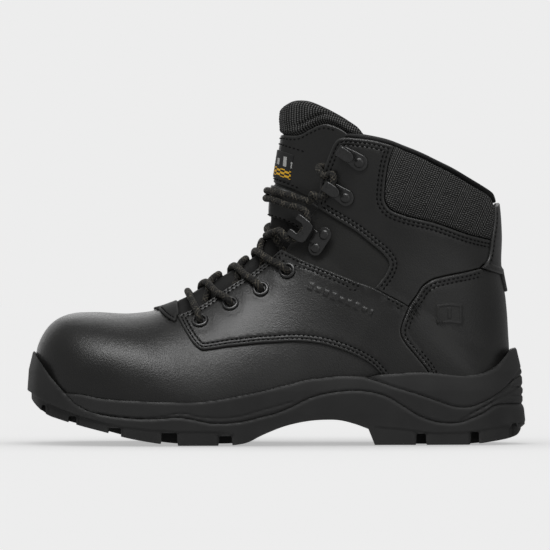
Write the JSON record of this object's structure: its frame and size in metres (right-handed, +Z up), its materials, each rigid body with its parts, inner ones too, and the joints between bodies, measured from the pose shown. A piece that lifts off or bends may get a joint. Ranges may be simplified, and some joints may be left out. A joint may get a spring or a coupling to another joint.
{
  "type": "steel toe work boot",
  "caption": "Ankle-high lace-up safety work boot with a rounded steel toe, leather upper, padded mesh collar, padded tongue and a deep lugged sole; a left boot.",
  "frame": {"origin": "centre of the bounding box at the bottom of the tread", "axes": "+X from toe to heel, +Z up, -Y the outer (lateral) side of this left boot"},
  "size_m": [0.3101, 0.1137, 0.2126],
  "materials": {
    "leather": "satin smooth black leather with a fine grain",
    "nubuck": "matt black buffed leather",
    "sole_rubber": "matt black moulded rubber",
    "plain_steel": "plain pressed steel",
    "board": "pressed fibre board",
    "foam": "dark foam",
    "lining_cloth": "black lining textile",
    "mesh_cloth": "black knitted mesh over foam",
    "label_cloth": "woven label, black with light bars and a yellow chequer band",
    "black_metal": "gloss black coated steel",
    "lace_cord": "braided black cord with brown flecks"
  },
  "bodies": {
    "boot": {"outsole": "sole_rubber", "midsole": "sole_rubber", "heel_stabiliser": "sole_rubber", "shank": "plain_steel", "insole_board": "board", "steel_toe_cap": "plain_steel", "heel_counter": "board", "lining": "lining_cloth", "vamp": "leather", "ankle_panel_lateral": "nubuck", "ankle_panel_medial": "nubuck", "quarter_lateral": "leather", "quarter_medial": "leather", "shaft_panel_lateral": "leather", "shaft_panel_medial": "leather", "heel_panel": "leather", "backstay": "leather", "collar_foam": "foam", "collar_mesh": "mesh_cloth", "collar_binding": "lining_cloth", "throat_tab": "leather", "tongue_lower_leather": "leather", "tongue_lower_padding": "foam", "tongue_band": "leather", "eyelets_lateral": "black_metal", "eyelets_medial": "black_metal", "lock_hook_lateral": "black_metal", "lock_hook_medial": "black_metal", "speed_hooks_lateral": "black_metal", "speed_hooks_medial": "black_metal", "hook_rivets_lateral": "black_metal", "hook_rivets_medial": "black_metal", "lace": "lace_cord"},
    "tongue": {"tongue_upper_leather": "leather", "tongue_upper_padding": "foam", "tongue_top_roll": "mesh_cloth", "tongue_label": "label_cloth"},
    "footbed": {"footbed_foam": "foam", "footbed_cover": "lining_cloth"}
  },
  "joints": [
    {"name": "tongue_fold", "type": "hinge", "parent": "boot", "child": "tongue", "pos_m": [-0.0012, 0, 0.1623], "axis": [0, -1, 0], "range_deg": [0, 28]},
    {"name": "footbed_lift", "type": "hinge", "parent": "boot", "child": "footbed", "pos_m": [-0.1397, 0, 0.0298], "axis": [0, -1, 0], "range_deg": [0, 6]}
  ]
}
